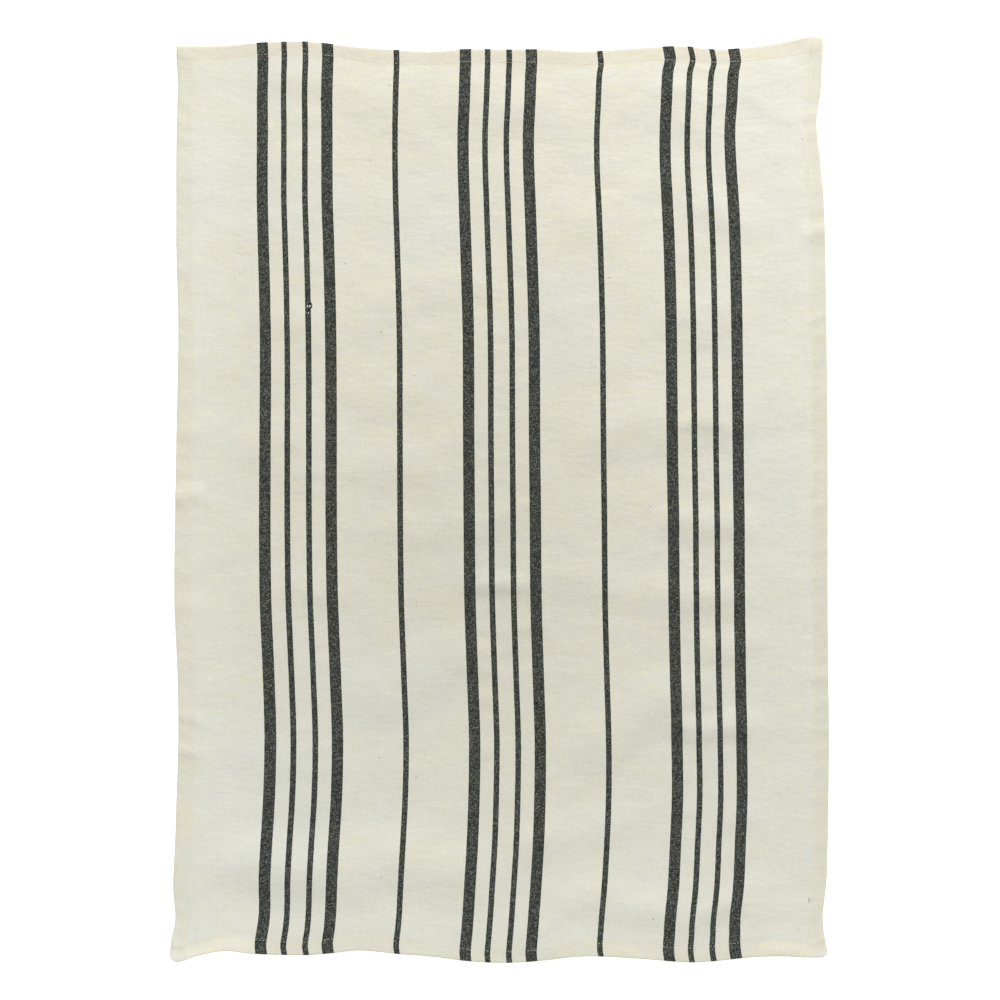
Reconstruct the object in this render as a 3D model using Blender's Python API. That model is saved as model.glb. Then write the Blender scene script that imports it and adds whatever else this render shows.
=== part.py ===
"""A striped tea towel, laid out flat and face up on the surface that it rests on.

The towel is one woven sheet with a narrow double-turned hem on all four sides. It has been
washed, so its sides wander, its ends are scalloped, its corners bulge and low ridges run
across it. All of that is worked out from the towel's sizes and the short tables below.

Metres, +Z up. The origin is under the middle of the towel, on the surface that it lies on.
+X points to the right side and +Y to the top end. Sizes here are in millimetres until the
last step, which multiplies them by MM.
"""

from collections import namedtuple

import bmesh
import bpy
import numpy as np

MM = 0.001
NAME = "tea_towel"
NODE = "cloth"

# Driving dimensions, in millimetres.
WIDTH = 500.0  # from side to side, finished
LENGTH = 700.0  # from end to end, finished
HEM_WIDTH = 10.5  # from the edge to the row of stitches
CLOTH_THICKNESS = 1.0  # one layer
HEM_RISE = 1.1  # what the two turned-in layers add under the face
HEM_SLOPE = 3.5  # how far the face takes to come down from the hem
OVERLAP_LOSS = 0.35  # the part of one hem's rise that is lost where two hems cross
EDGE_INSET = 1.2  # the folded edge is rounded over this distance
EDGE_DROP = 0.6  # and by this height

# Warp stripes: the middle of each of the three groups, from the left side.
GROUP_A = 93.0
GROUP_B = 249.5
GROUP_C = 405.5

# How far the bulges of the ends reach into the cloth.
END_REACH = 170.0

# Grid lines near an edge, counted from that edge, and the number of steps between them.
EDGE_LINES = (0.0, EDGE_INSET, 5.0, HEM_WIDTH, HEM_WIDTH + HEM_SLOPE, 19.0)
STEPS_ACROSS = 27
STEPS_ALONG = 55

CREAM = (0.72, 0.70, 0.60, 1.0)

# How the warp lies: sideways shift of each line from its straight place, to the right.
Course = namedtuple("Course", "from_bottom left_side group_a group_b group_c right_side")
COURSES = (
    Course(0, -4.3, -1.0, -0.8, 0.3, 2.0),
    Course(6, -4.3, -2.0, -1.3, -0.8, 1.2),
    Course(12, -3.8, -1.5, -0.9, -1.0, 0.0),
    Course(19, -2.9, -0.3, -0.3, -0.4, -1.1),
    Course(27, -0.9, 0.4, 0.4, -0.1, -1.8),
    Course(57, -2.0, 1.5, 2.5, 3.0, 1.0),
    Course(88, -0.5, 3.0, 4.5, 4.5, 2.0),
    Course(119, 0.5, 5.0, 5.5, 6.0, 2.5),
    Course(165, 2.0, 6.0, 6.0, 5.5, 3.0),
    Course(211, 1.5, 4.5, 4.5, 4.5, 2.5),
    Course(273, -1.0, 2.0, 2.5, 3.5, 2.0),
    Course(335, -0.5, 1.0, 2.0, 3.0, 2.0),
    Course(396, 0.5, 1.0, 1.5, 2.0, 2.0),
    Course(488, 2.0, 0.5, 1.0, 1.0, 1.0),
    Course(550, 0.5, -1.0, -1.0, -0.5, 0.0),
    Course(581, 0.5, -2.0, -2.0, -2.0, -1.0),
    Course(611, 0.5, -2.0, -3.0, -3.5, -4.0),
    Course(638, 1.0, -2.0, -3.0, -3.5, -6.5),
    Course(658, 1.5, -2.3, -2.0, -2.7, -3.5),
    Course(673, 2.0, -2.0, -1.5, -2.1, -2.7),
    Course(681, 1.5, -1.7, -1.3, -1.4, -2.3),
    Course(689, 1.0, -1.5, -1.0, 0.6, -1.9),
    Course(700, 0.5, -2.0, -1.0, -1.4, -1.8),
)

# How the ends wave: shift of the top and bottom edge from straight, upwards in the plan.
Wave = namedtuple("Wave", "from_left top_end bottom_end")
WAVES = (
    Wave(0, -0.5, -5.3),
    Wave(5, -0.5, -5.5),
    Wave(12, -0.5, -3.5),
    Wave(18, -0.5, -1.0),
    Wave(24, -0.4, 0.4),
    Wave(38, -0.1, 3.1),
    Wave(62, 2.1, 0.8),
    Wave(84, 3.0, -0.3),
    Wave(105, 3.0, -0.3),
    Wave(127, 0.7, 1.7),
    Wave(140, -1.0, 3.1),
    Wave(153, -2.1, 2.4),
    Wave(170, -3.2, 0.6),
    Wave(197, -4.6, -1.5),
    Wave(224, -2.7, -4.9),
    Wave(256, -3.0, -6.4),
    Wave(288, -3.0, -4.2),
    Wave(310, -4.6, -1.6),
    Wave(345, -2.7, -2.3),
    Wave(370, -1.0, -4.2),
    Wave(395, -0.6, -6.0),
    Wave(418, -2.9, -4.7),
    Wave(440, -1.6, -2.2),
    Wave(462, 1.4, -0.9),
    Wave(478, 4.2, -1.4),
    Wave(488, 6.7, -1.9),
    Wave(500, 6.6, -1.2),
)

# The roundness of each corner.
Corner = namedtuple("Corner", "side end radius")
CORNERS = (
    Corner("left", "top", 1.5),
    Corner("right", "top", 4.5),
    Corner("left", "bottom", 6.5),
    Corner("right", "bottom", 5.0),
)

# Soft ridges: middle from the left side and from the bottom end, size, turn in degrees
# anticlockwise, and height. Everywhere else the cloth lies flat on the surface. A ridge
# sinks to nothing over the last part of its half length.
RIDGE_FADE = 0.6
Ridge = namedtuple("Ridge", "name from_left from_bottom length width turn height")
RIDGES = (
    Ridge("below_top_hem", 262, 657, 440, 70, 0, 1.35),
    Ridge("top_left_group", 93, 669, 90, 38, 0, 0.9),
    Ridge("top_right_group", 398, 664, 90, 40, -4, 1.1),
    Ridge("top_right_pull", 462, 650, 90, 30, -34, 0.4),
    Ridge("right_group_high", 428, 570, 90, 48, -14, 0.9),
    Ridge("right_field_high", 325, 569, 80, 60, 0, 0.7),
    Ridge("left_group_high", 161, 502, 220, 57, 13, 0.75),
    Ridge("left_group_upper", 90, 487, 84, 46, 0, 0.9),
    Ridge("right_group_above", 402, 491, 90, 62, 0, 0.9),
    Ridge("middle_field", 165, 437, 110, 58, 0, 0.5),
    Ridge("right_group_upper", 384, 413, 200, 70, 9, 1.7),
    Ridge("left_group_middle", 88, 392, 100, 56, 0, 0.9),
    Ridge("middle_field_low", 165, 373, 120, 56, 0, 0.6),
    Ridge("right_group_middle", 403, 331, 100, 40, 0, 1.3),
    Ridge("middle_upper", 208, 331, 130, 50, 15, 0.65),
    Ridge("middle_lower", 325, 283, 240, 50, -6, 0.9),
    Ridge("right_group_centre", 396, 276, 110, 40, -8, 1.5),
    Ridge("left_group_lower", 89, 281, 100, 44, 0, 0.9),
    Ridge("right_group_lower", 424, 236, 80, 34, 5, 1.1),
    Ridge("middle_low", 185, 214, 150, 64, 18, 1.5),
    Ridge("right_group_low", 408, 177, 100, 36, 2, 1.7),
    Ridge("right_field_low", 350, 183, 160, 66, 30, 1.8),
    Ridge("left_group_low", 86, 148, 100, 44, 0, 0.8),
    Ridge("middle_above_bottom", 292, 91, 140, 50, 16, 1.1),
    Ridge("left_above_bottom", 131, 66, 300, 74, 0, 2.8),
    Ridge("right_above_bottom", 369, 42, 220, 48, 0, 1.6),
    Ridge("top_left_corner", 0, 700, 46, 44, 45, 0.8),
    Ridge("top_right_corner", 500, 700, 66, 56, -45, 1.5),
    Ridge("bottom_left_corner", 14, -16, 130, 100, -12, 2.6),
    Ridge("bottom_right_corner", 492, -16, 100, 96, 12, 2.2),
)


def table(rows):
    """Return a table as a dictionary that holds one array for each named column."""
    return {name: np.array([getattr(row, name) for row in rows]) for name in rows[0]._fields}


def smooth_read(places, values, at):
    """Read a smooth curve through the given values, as cubic pieces that share their slopes."""
    places = np.asarray(places, dtype=float)
    values = np.asarray(values, dtype=float)
    slopes = np.gradient(values, places)
    before = np.clip(np.searchsorted(places, at, side="right") - 1, 0, len(places) - 2)
    step = places[before + 1] - places[before]
    part = (at - places[before]) / step
    return (
        (1 + 2 * part) * (1 - part) ** 2 * values[before]
        + part * (1 - part) ** 2 * step * slopes[before]
        + part**2 * (3 - 2 * part) * values[before + 1]
        - part**2 * (1 - part) * step * slopes[before + 1]
    )


def ease(part):
    """Go smoothly from 0 to 1 as the part goes from 0 to 1, and stay level outside that."""
    part = np.clip(part, 0.0, 1.0)
    return part * part * (3.0 - 2.0 * part)


def edge_lines(size, steps):
    """Return grid lines from 0 to size: close together at the hems, evenly spaced between."""
    near = np.array(EDGE_LINES)
    middle = np.linspace(near[-1], size - near[-1], steps + 1)[1:-1]
    return np.concatenate((near, middle, (size - near)[::-1]))


def round_corners(across, along):
    """Pull the square corners of the cloth in to quarter circles, in the cloth's own plane."""
    for corner in CORNERS:
        side = across if corner.side == "left" else WIDTH - across
        end = along if corner.end == "bottom" else LENGTH - along
        near = (side < corner.radius) & (end < corner.radius)
        to_side = np.where(near, 1.0 - side / corner.radius, 0.0)
        to_end = np.where(near, 1.0 - end / corner.radius, 0.0)
        pull_side = corner.radius * to_side * (1.0 - np.sqrt(1.0 - to_end**2 / 2.0))
        pull_end = corner.radius * to_end * (1.0 - np.sqrt(1.0 - to_side**2 / 2.0))
        across = across + pull_side * (1.0 if corner.side == "left" else -1.0)
        along = along + pull_end * (1.0 if corner.end == "bottom" else -1.0)
    return across, along


def lay_out(across, along):
    """Turn places in the cloth into places on the surface, from the middle of the towel.

    The sideways shift is read from COURSES at the sides and the stripe groups, and blended
    evenly between them. The ends' waves are read from WAVES and die away inside END_REACH.
    """
    courses = table(COURSES)
    warp_places = (0.0, GROUP_A, GROUP_B, GROUP_C, WIDTH)
    warp_names = ("left_side", "group_a", "group_b", "group_c", "right_side")
    shifts = [smooth_read(courses["from_bottom"], courses[name], along) for name in warp_names]
    shift = np.zeros_like(across)
    for place, shifted in zip(warp_places, shifts):
        bump = [1.0 if place == other else 0.0 for other in warp_places]
        shift += shifted * np.interp(across, warp_places, bump)

    waves = table(WAVES)
    top = smooth_read(waves["from_left"], waves["top_end"], across)
    bottom = smooth_read(waves["from_left"], waves["bottom_end"], across)
    lift = top * (1.0 - ease((LENGTH - along) / END_REACH))
    lift += bottom * (1.0 - ease(along / END_REACH))

    across, along = round_corners(across, along)
    return across + shift - WIDTH / 2.0, along + lift - LENGTH / 2.0


def ridge_height(across, along):
    """Return how high the cloth stands off the surface.

    Each ridge is a smooth hump across its width that fades out at both ends, and ridges
    that meet are joined by the root of the sum of their squares.
    """
    squares = np.zeros_like(across)
    for ridge in RIDGES:
        turn = np.radians(ridge.turn)
        right = across - ridge.from_left
        up = along - ridge.from_bottom
        lengthways = 2.0 * (right * np.cos(turn) + up * np.sin(turn)) / ridge.length
        widthways = 2.0 * (up * np.cos(turn) - right * np.sin(turn)) / ridge.width
        hump = ease(1.0 - np.abs(widthways)) * ease((1.0 - np.abs(lengthways)) / RIDGE_FADE)
        squares += (ridge.height * hump) ** 2
    return np.sqrt(squares)


def layer_thickness(across, along):
    """Return the sheet's thickness: one layer, and more where the hems are turned in."""
    to_side = np.minimum(across, WIDTH - across)
    to_end = np.minimum(along, LENGTH - along)
    side_hem = 1.0 - ease((to_side - HEM_WIDTH) / HEM_SLOPE)
    end_hem = 1.0 - ease((to_end - HEM_WIDTH) / HEM_SLOPE)
    to_edge = np.minimum(to_side, to_end)
    hems = side_hem + end_hem - OVERLAP_LOSS * side_hem * end_hem
    rounding = EDGE_DROP * (1.0 - np.clip(to_edge / EDGE_INSET, 0.0, 1.0))
    return CLOTH_THICKNESS + HEM_RISE * hems - rounding


def make_material():
    """Make the plain cream finish of the cloth."""
    material = bpy.data.materials.new("cream_cloth")
    material.use_nodes = True
    shader = material.node_tree.nodes["Principled BSDF"]
    shader.inputs["Base Color"].default_value = CREAM
    shader.inputs["Roughness"].default_value = 0.9
    shader.inputs["Metallic"].default_value = 0.0
    material.diffuse_color = CREAM
    return material


def make_cloth():
    """Lay a grid out as the underside of the towel and draw its upper side up from it."""
    lines_across = edge_lines(WIDTH, STEPS_ACROSS)
    lines_along = edge_lines(LENGTH, STEPS_ALONG)
    sheet = bmesh.new()
    bmesh.ops.create_grid(
        sheet, x_segments=len(lines_across) - 1, y_segments=len(lines_along) - 1, size=0.5
    )
    sheet.verts.ensure_lookup_table()
    grid = np.array([vertex.co[:2] for vertex in sheet.verts]) + 0.5
    columns = np.rint(grid[:, 0] * (len(lines_across) - 1)).astype(int)
    rows = np.rint(grid[:, 1] * (len(lines_along) - 1)).astype(int)
    across = lines_across[columns]
    along = lines_along[rows]
    right, up = lay_out(across, along)
    right -= (right.min() + right.max()) / 2.0
    up -= (up.min() + up.max()) / 2.0
    underside = ridge_height(across, along)
    thickness = sheet.verts.layers.float.new("thickness")
    layers = layer_thickness(across, along)
    places = np.column_stack((right, up, underside, layers)) * MM
    for vertex, (x, y, z, layer) in zip(sheet.verts, places):
        vertex.co = (x, y, z)
        vertex[thickness] = layer

    raised = bmesh.ops.extrude_face_region(sheet, geom=sheet.faces[:])["geom"]
    for item in raised:
        if isinstance(item, bmesh.types.BMVert):
            item.co.z += item[thickness]
    sheet.verts.layers.float.remove(thickness)
    bmesh.ops.recalc_face_normals(sheet, faces=sheet.faces[:])

    mesh = bpy.data.meshes.new(NODE)
    sheet.to_mesh(mesh)
    sheet.free()
    mesh.shade_smooth()
    mesh.set_sharp_from_angle(angle=np.radians(40.0))
    return bpy.data.objects.new(NODE, mesh)


def main():
    """Clear the scene and build the towel in a collection of its own."""
    for item in list(bpy.data.objects):
        bpy.data.objects.remove(item, do_unlink=True)
    collection = bpy.data.collections.new(NAME)
    bpy.context.scene.collection.children.link(collection)
    cloth = make_cloth()
    cloth.data.materials.append(make_material())
    collection.objects.link(cloth)


main()
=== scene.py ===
"""A washed, striped tea towel, laid out flat and face up, and seen from straight above.

The cloth is one woven sheet with a narrow double-turned hem on all four sides, held down by
one row of stitches. Places on the cloth are counted in millimetres from its left side and its
bottom end. MM turns them into metres when a mesh is made. The tables of the towel's lay are
those of the solid model, with a few finer ridges added.
"""

import logging
import math
from dataclasses import dataclass
from enum import Enum
from typing import Any, Mapping, NamedTuple, Sequence, Union

import bpy
import numpy as np
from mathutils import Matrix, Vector
from numpy.typing import NDArray


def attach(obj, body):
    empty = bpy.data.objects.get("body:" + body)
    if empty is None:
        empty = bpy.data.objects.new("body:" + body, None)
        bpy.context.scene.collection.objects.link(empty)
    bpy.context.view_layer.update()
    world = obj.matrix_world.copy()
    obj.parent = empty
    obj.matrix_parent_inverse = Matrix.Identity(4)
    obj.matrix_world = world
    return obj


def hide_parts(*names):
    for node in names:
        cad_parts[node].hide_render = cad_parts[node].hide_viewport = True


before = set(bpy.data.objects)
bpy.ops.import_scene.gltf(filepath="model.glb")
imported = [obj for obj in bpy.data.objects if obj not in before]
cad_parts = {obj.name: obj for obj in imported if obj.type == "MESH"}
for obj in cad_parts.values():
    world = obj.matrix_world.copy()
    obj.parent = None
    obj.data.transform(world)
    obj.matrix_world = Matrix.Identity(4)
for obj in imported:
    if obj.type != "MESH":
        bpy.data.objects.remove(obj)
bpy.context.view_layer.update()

Array = NDArray[np.float64]
Colour = tuple[float, float, float, float]
log = logging.getLogger("tea_towel")

MM = 0.001
ROOT = "root"
CLOTH_NODE = "cloth"
WEAVE_MAP = "weave"
YARN_MAP = "yarn"
PICTURE_MAP = "OFBake"
HALF_TURN = 180.0
NEARLY_UP = (0.02, 0.01, 1.0)
WHITE: Colour = (1.0, 1.0, 1.0, 1.0)
WARM_WHITE = (1.0, 1.0, 0.99)
COOL_WHITE = (0.96, 1.0, 1.05)


class Side(Enum):
    """The two long sides of the towel."""

    LEFT = "left"
    RIGHT = "right"


class End(Enum):
    """The two short ends of the towel."""

    TOP = "top"
    BOTTOM = "bottom"


class Face(Enum):
    """The two faces of the cloth as it lies."""

    UPPER = "upper"
    UNDER = "under"


class Course(NamedTuple):
    """How far the warp stands to the right of its straight place, at one height."""

    from_bottom: float
    left_side: float
    group_a: float
    group_b: float
    group_c: float
    right_side: float


class Wave(NamedTuple):
    """How far the two ends stand above their straight places, at one distance across."""

    from_left: float
    top_end: float
    bottom_end: float


class Corner(NamedTuple):
    """The roundness of one corner."""

    side: Side
    end: End
    radius: float


class Ridge(NamedTuple):
    """A soft ridge: its middle, its size, its turn in degrees anticlockwise, and its height."""

    name: str
    from_left: float
    from_bottom: float
    length: float
    width: float
    turn: float
    height: float


class Pucker(NamedTuple):
    """A patch of small even ridges that run across the warp."""

    name: str
    from_left: float
    from_bottom: float
    width: float
    length: float
    period: float
    height: float


class CreamPatch(NamedTuple):
    """A soft oval patch where the cream is warmer, or below 0 cooler, and lighter from painted
    light, or below 0 darker from painted shade.
    """

    name: str
    from_left: float
    from_bottom: float
    width: float
    length: float
    warmth: float
    painted_light: float


class Tone(Enum):
    """The light and the deep colour of a loose thread; the deep one is partly painted shade between
    its plies.
    """

    PALE = ((0.90, 0.85, 0.75, 1.0), (0.80, 0.75, 0.65, 1.0))
    GREY = ((0.16, 0.155, 0.135, 1.0), (0.09, 0.085, 0.075, 1.0))
    DARK = ((0.012, 0.011, 0.010, 1.0), (0.005, 0.005, 0.005, 1.0))


class Stray(NamedTuple):
    """A loose thread or nep: its middle, its length, its way and bend in degrees."""

    name: str
    from_left: float
    from_bottom: float
    length: float
    turn: float
    bend: float
    radius: float
    tone: Tone


class RowPlace(NamedTuple):
    """How far the stitch rows of the two end hems lie from their edges, at one distance across."""

    from_left: float
    top_row: float
    bottom_row: float


class Swing(NamedTuple):
    """A sine of two places: its size, the millimetres of each that make a radian, its start."""

    size: float
    first: float
    second: float = math.inf
    start: float = 0.0

    def at(self, first: Array, second: Union[Array, float] = 0.0, more: float = 0.0) -> Array:
        """Return the size times the sine of the two places, each over its own length.

        Args:
            first: The first place.
            second: The second place.
            more: What is added to the start.

        Returns:
            The sine at each place.
        """
        turn = first / self.first + second / self.second + (self.start + more)
        return self.size * np.sin(turn)


class Cloud(NamedTuple):
    """Soft noise over a surface: the size of its spots both ways, its cut, strength and layers.

    Where a size is counted in threads, one below 1 gives each thread a tone of its own.
    """

    width: float
    length: float
    cut: float
    strength: float
    layers: float = 1.0


COURSES = (
    Course(0, -4.3, -1.0, -0.8, 0.3, 2.0),
    Course(6, -4.3, -2.0, -1.3, -0.8, 1.2),
    Course(12, -3.8, -1.5, -0.9, -1.0, 0.0),
    Course(19, -2.9, -0.3, -0.3, -0.4, -1.1),
    Course(27, -0.9, 0.4, 0.4, -0.1, -1.8),
    Course(57, -2.0, 1.5, 2.5, 3.0, 1.0),
    Course(88, -0.5, 3.0, 4.5, 4.5, 2.0),
    Course(119, 0.5, 5.0, 5.5, 6.0, 2.5),
    Course(165, 2.0, 6.0, 6.0, 5.5, 3.0),
    Course(211, 1.5, 4.5, 4.5, 4.5, 2.5),
    Course(273, -1.0, 2.0, 2.5, 3.5, 2.0),
    Course(335, -0.5, 1.0, 2.0, 3.0, 2.0),
    Course(396, 0.5, 1.0, 1.5, 2.0, 2.0),
    Course(488, 2.0, 0.5, 1.0, 1.0, 1.0),
    Course(550, 0.5, -1.0, -1.0, -0.5, 0.0),
    Course(581, 0.5, -2.0, -2.0, -2.0, -1.0),
    Course(611, 0.5, -2.0, -3.0, -3.5, -4.0),
    Course(638, 1.0, -2.0, -3.0, -3.5, -6.5),
    Course(658, 1.5, -2.3, -2.0, -2.7, -3.5),
    Course(673, 2.0, -2.0, -1.5, -2.1, -2.7),
    Course(681, 1.5, -1.7, -1.3, -1.4, -2.3),
    Course(689, 1.0, -1.5, -1.0, 0.6, -1.9),
    Course(700, 0.5, -2.0, -1.0, -1.4, -1.8),
)

WAVES = (
    Wave(0, -0.5, -5.3),
    Wave(5, -0.5, -5.5),
    Wave(12, -0.5, -3.5),
    Wave(18, -0.5, -1.0),
    Wave(24, -0.4, 0.4),
    Wave(38, -0.1, 3.1),
    Wave(62, 2.1, 0.8),
    Wave(84, 3.0, -0.3),
    Wave(105, 3.0, -0.3),
    Wave(127, 0.7, 1.7),
    Wave(140, -1.0, 3.1),
    Wave(153, -2.1, 2.4),
    Wave(170, -3.2, 0.6),
    Wave(197, -4.6, -1.5),
    Wave(224, -2.7, -4.9),
    Wave(256, -3.0, -6.4),
    Wave(288, -3.0, -4.2),
    Wave(310, -4.6, -1.6),
    Wave(345, -2.7, -2.3),
    Wave(370, -1.0, -4.2),
    Wave(395, -0.6, -6.0),
    Wave(418, -2.9, -4.7),
    Wave(440, -1.6, -2.2),
    Wave(462, 1.4, -0.9),
    Wave(478, 4.2, -1.4),
    Wave(488, 6.7, -1.9),
    Wave(500, 6.6, -1.2),
)

CORNERS = (
    Corner(Side.LEFT, End.TOP, 1.5),
    Corner(Side.RIGHT, End.TOP, 4.5),
    Corner(Side.LEFT, End.BOTTOM, 6.5),
    Corner(Side.RIGHT, End.BOTTOM, 5.0),
)

RIDGES = (
    Ridge("below_top_hem", 262, 657, 440, 70, 0, 1.35),
    Ridge("top_left_group", 93, 669, 90, 38, 0, 0.9),
    Ridge("top_right_group", 398, 664, 90, 40, -4, 1.1),
    Ridge("top_right_pull", 462, 650, 90, 30, -34, 0.4),
    Ridge("right_group_high", 428, 570, 90, 48, -14, 0.9),
    Ridge("right_field_high", 325, 569, 80, 60, 0, 0.7),
    Ridge("left_group_high", 161, 502, 220, 57, 13, 0.75),
    Ridge("left_group_upper", 90, 487, 84, 46, 0, 0.9),
    Ridge("right_group_above", 402, 491, 90, 62, 0, 0.9),
    Ridge("middle_field", 165, 437, 110, 58, 0, 0.5),
    Ridge("right_group_upper", 384, 413, 200, 70, 9, 1.7),
    Ridge("left_group_middle", 88, 392, 100, 56, 0, 0.9),
    Ridge("middle_field_low", 165, 373, 120, 56, 0, 0.6),
    Ridge("right_group_middle", 403, 331, 100, 40, 0, 1.3),
    Ridge("middle_upper", 208, 331, 130, 50, 15, 0.65),
    Ridge("middle_lower", 325, 283, 240, 50, -6, 0.9),
    Ridge("right_group_centre", 396, 276, 110, 40, -8, 1.5),
    Ridge("left_group_lower", 89, 281, 100, 44, 0, 0.9),
    Ridge("right_group_lower", 424, 236, 80, 34, 5, 1.1),
    Ridge("middle_low", 185, 214, 150, 64, 18, 1.5),
    Ridge("right_group_low", 408, 177, 100, 36, 2, 1.7),
    Ridge("right_field_low", 350, 183, 160, 66, 30, 1.8),
    Ridge("left_group_low", 86, 148, 100, 44, 0, 0.8),
    Ridge("middle_above_bottom", 292, 91, 140, 50, 16, 1.1),
    Ridge("left_above_bottom", 131, 66, 300, 74, 0, 2.8),
    Ridge("right_above_bottom", 369, 42, 220, 48, 0, 1.6),
    Ridge("top_left_corner", 0, 700, 46, 44, 45, 0.8),
    Ridge("top_right_corner", 500, 700, 66, 56, -45, 1.5),
    Ridge("bottom_left_corner", 14, -16, 130, 100, -12, 2.6),
    Ridge("bottom_right_corner", 492, -16, 100, 96, 12, 2.2),
)

FINE_RIDGES = (
    Ridge("under_top_row", 412, 685, 70, 7, 1, 0.3),
    Ridge("top_right_crease", 462, 646, 62, 9, -33, 0.25),
    Ridge("right_hem_crease", 489, 604, 56, 7, -88, 0.3),
    Ridge("left_hem_lump", 6, 351, 50, 22, 0, 1.0),
    Ridge("left_hem_high", 6, 531, 40, 20, 0, 0.5),
    Ridge("left_hem_upper", 6, 458, 40, 18, 0, 0.3),
    Ridge("left_hem_middle", 6, 400, 40, 18, 0, 0.5),
    Ridge("left_hem_lower", 6, 273, 40, 22, 0, 0.5),
    Ridge("left_hem_low", 6, 179, 40, 18, 0, 0.9),
    Ridge("left_hem_lowest", 6, 154, 36, 16, 0, 0.8),
    Ridge("left_bottom_crease", 6, 33, 26, 6, 90, 0.5),
    Ridge("bottom_left_curl", 34, -1, 92, 28, 0, 2.0),
    Ridge("bottom_field_curl", 358, -1, 60, 24, 0, 0.6),
    Ridge("bottom_right_curl", 472, -1, 84, 26, 0, 1.2),
    Ridge("right_hem_lump", 494, 556, 42, 22, 0, 1.0),
    Ridge("right_hem_low", 494, 212, 40, 24, 0, 0.6),
    Ridge("left_group_dent", 106, 638, 44, 30, 0, 0.4),
    Ridge("left_group_notch", 92, 600, 90, 60, 0, 0.3),
    Ridge("right_group_dent", 413, 638, 60, 44, 0, 0.6),
    Ridge("left_group_crease", 92, 371, 80, 24, 0, 0.35),
    Ridge("right_group_crease", 406, 409, 90, 20, 0, 0.5),
    Ridge("right_low_crease", 430, 107, 60, 34, 0, 0.7),
    Ridge("right_end_crease", 408, 37, 90, 24, 0, 0.6),
    Ridge("middle_group_crease", 245, 287, 70, 22, -6, 1.2),
    Ridge("middle_group_nick", 232, 515, 40, 20, -4, 0.5),
    Ridge("middle_group_dip", 258, 340, 60, 18, 4, 0.4),
    Ridge("middle_pucker_first", 238, 251, 40, 22, 0, 0.5),
    Ridge("middle_pucker_second", 272, 256, 36, 20, 0, 0.4),
    Ridge("middle_pucker_third", 272, 218, 36, 20, 0, 0.4),
    Ridge("middle_pucker_fourth", 238, 214, 40, 20, 0, 0.4),
    Ridge("middle_pucker_fifth", 236, 194, 40, 20, 0, 0.4),
    Ridge("middle_pucker_sixth", 236, 156, 40, 20, 0, 0.4),
    Ridge("middle_pucker_last", 272, 90, 40, 22, 0, 0.4),
)

PUCKERS = (
    Pucker("middle_group", 250, 345, 80, 460, 14.5, 0.26),
    Pucker("left_group", 92, 330, 74, 560, 17.0, 0.20),
    Pucker("right_group", 406, 320, 74, 520, 18.5, 0.20),
)

CREAM_PATCHES = (
    CreamPatch("middle", 237, 385, 470, 760, 0.25, 0.0),
    CreamPatch("middle_dull", 220, 300, 260, 250, 0.0, -0.025),
    CreamPatch("left_field", 60, 400, 100, 640, 0.13, -0.018),
    CreamPatch("left_high", 42, 596, 90, 80, -0.30, 0.0),
    CreamPatch("left_group_high", 108, 573, 100, 60, -0.25, 0.0),
    CreamPatch("left_hem_high", 4, 575, 50, 170, -0.18, 0.0),
    CreamPatch("middle_top", 150, 650, 100, 110, 0.22, 0.0),
    CreamPatch("middle_high", 192, 566, 90, 90, -0.45, 0.0),
    CreamPatch("right_field_high", 300, 485, 90, 110, -0.38, 0.0),
    CreamPatch("right_high", 480, 620, 120, 260, -0.18, -0.008),
    CreamPatch("middle_group", 273, 442, 50, 60, -0.15, 0.0),
    CreamPatch("middle_low", 158, 204, 130, 90, -0.45, 0.0),
    CreamPatch("left_low", 65, 111, 130, 220, -0.30, 0.0),
    CreamPatch("left_corner_low", 10, 30, 60, 90, -0.20, 0.0),
    CreamPatch("middle_group_low", 238, 285, 40, 110, -0.35, 0.0),
    CreamPatch("right_side", 450, 373, 80, 130, -0.25, 0.0),
    CreamPatch("right_hem", 500, 400, 30, 700, 0.0, -0.025),
)

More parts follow.
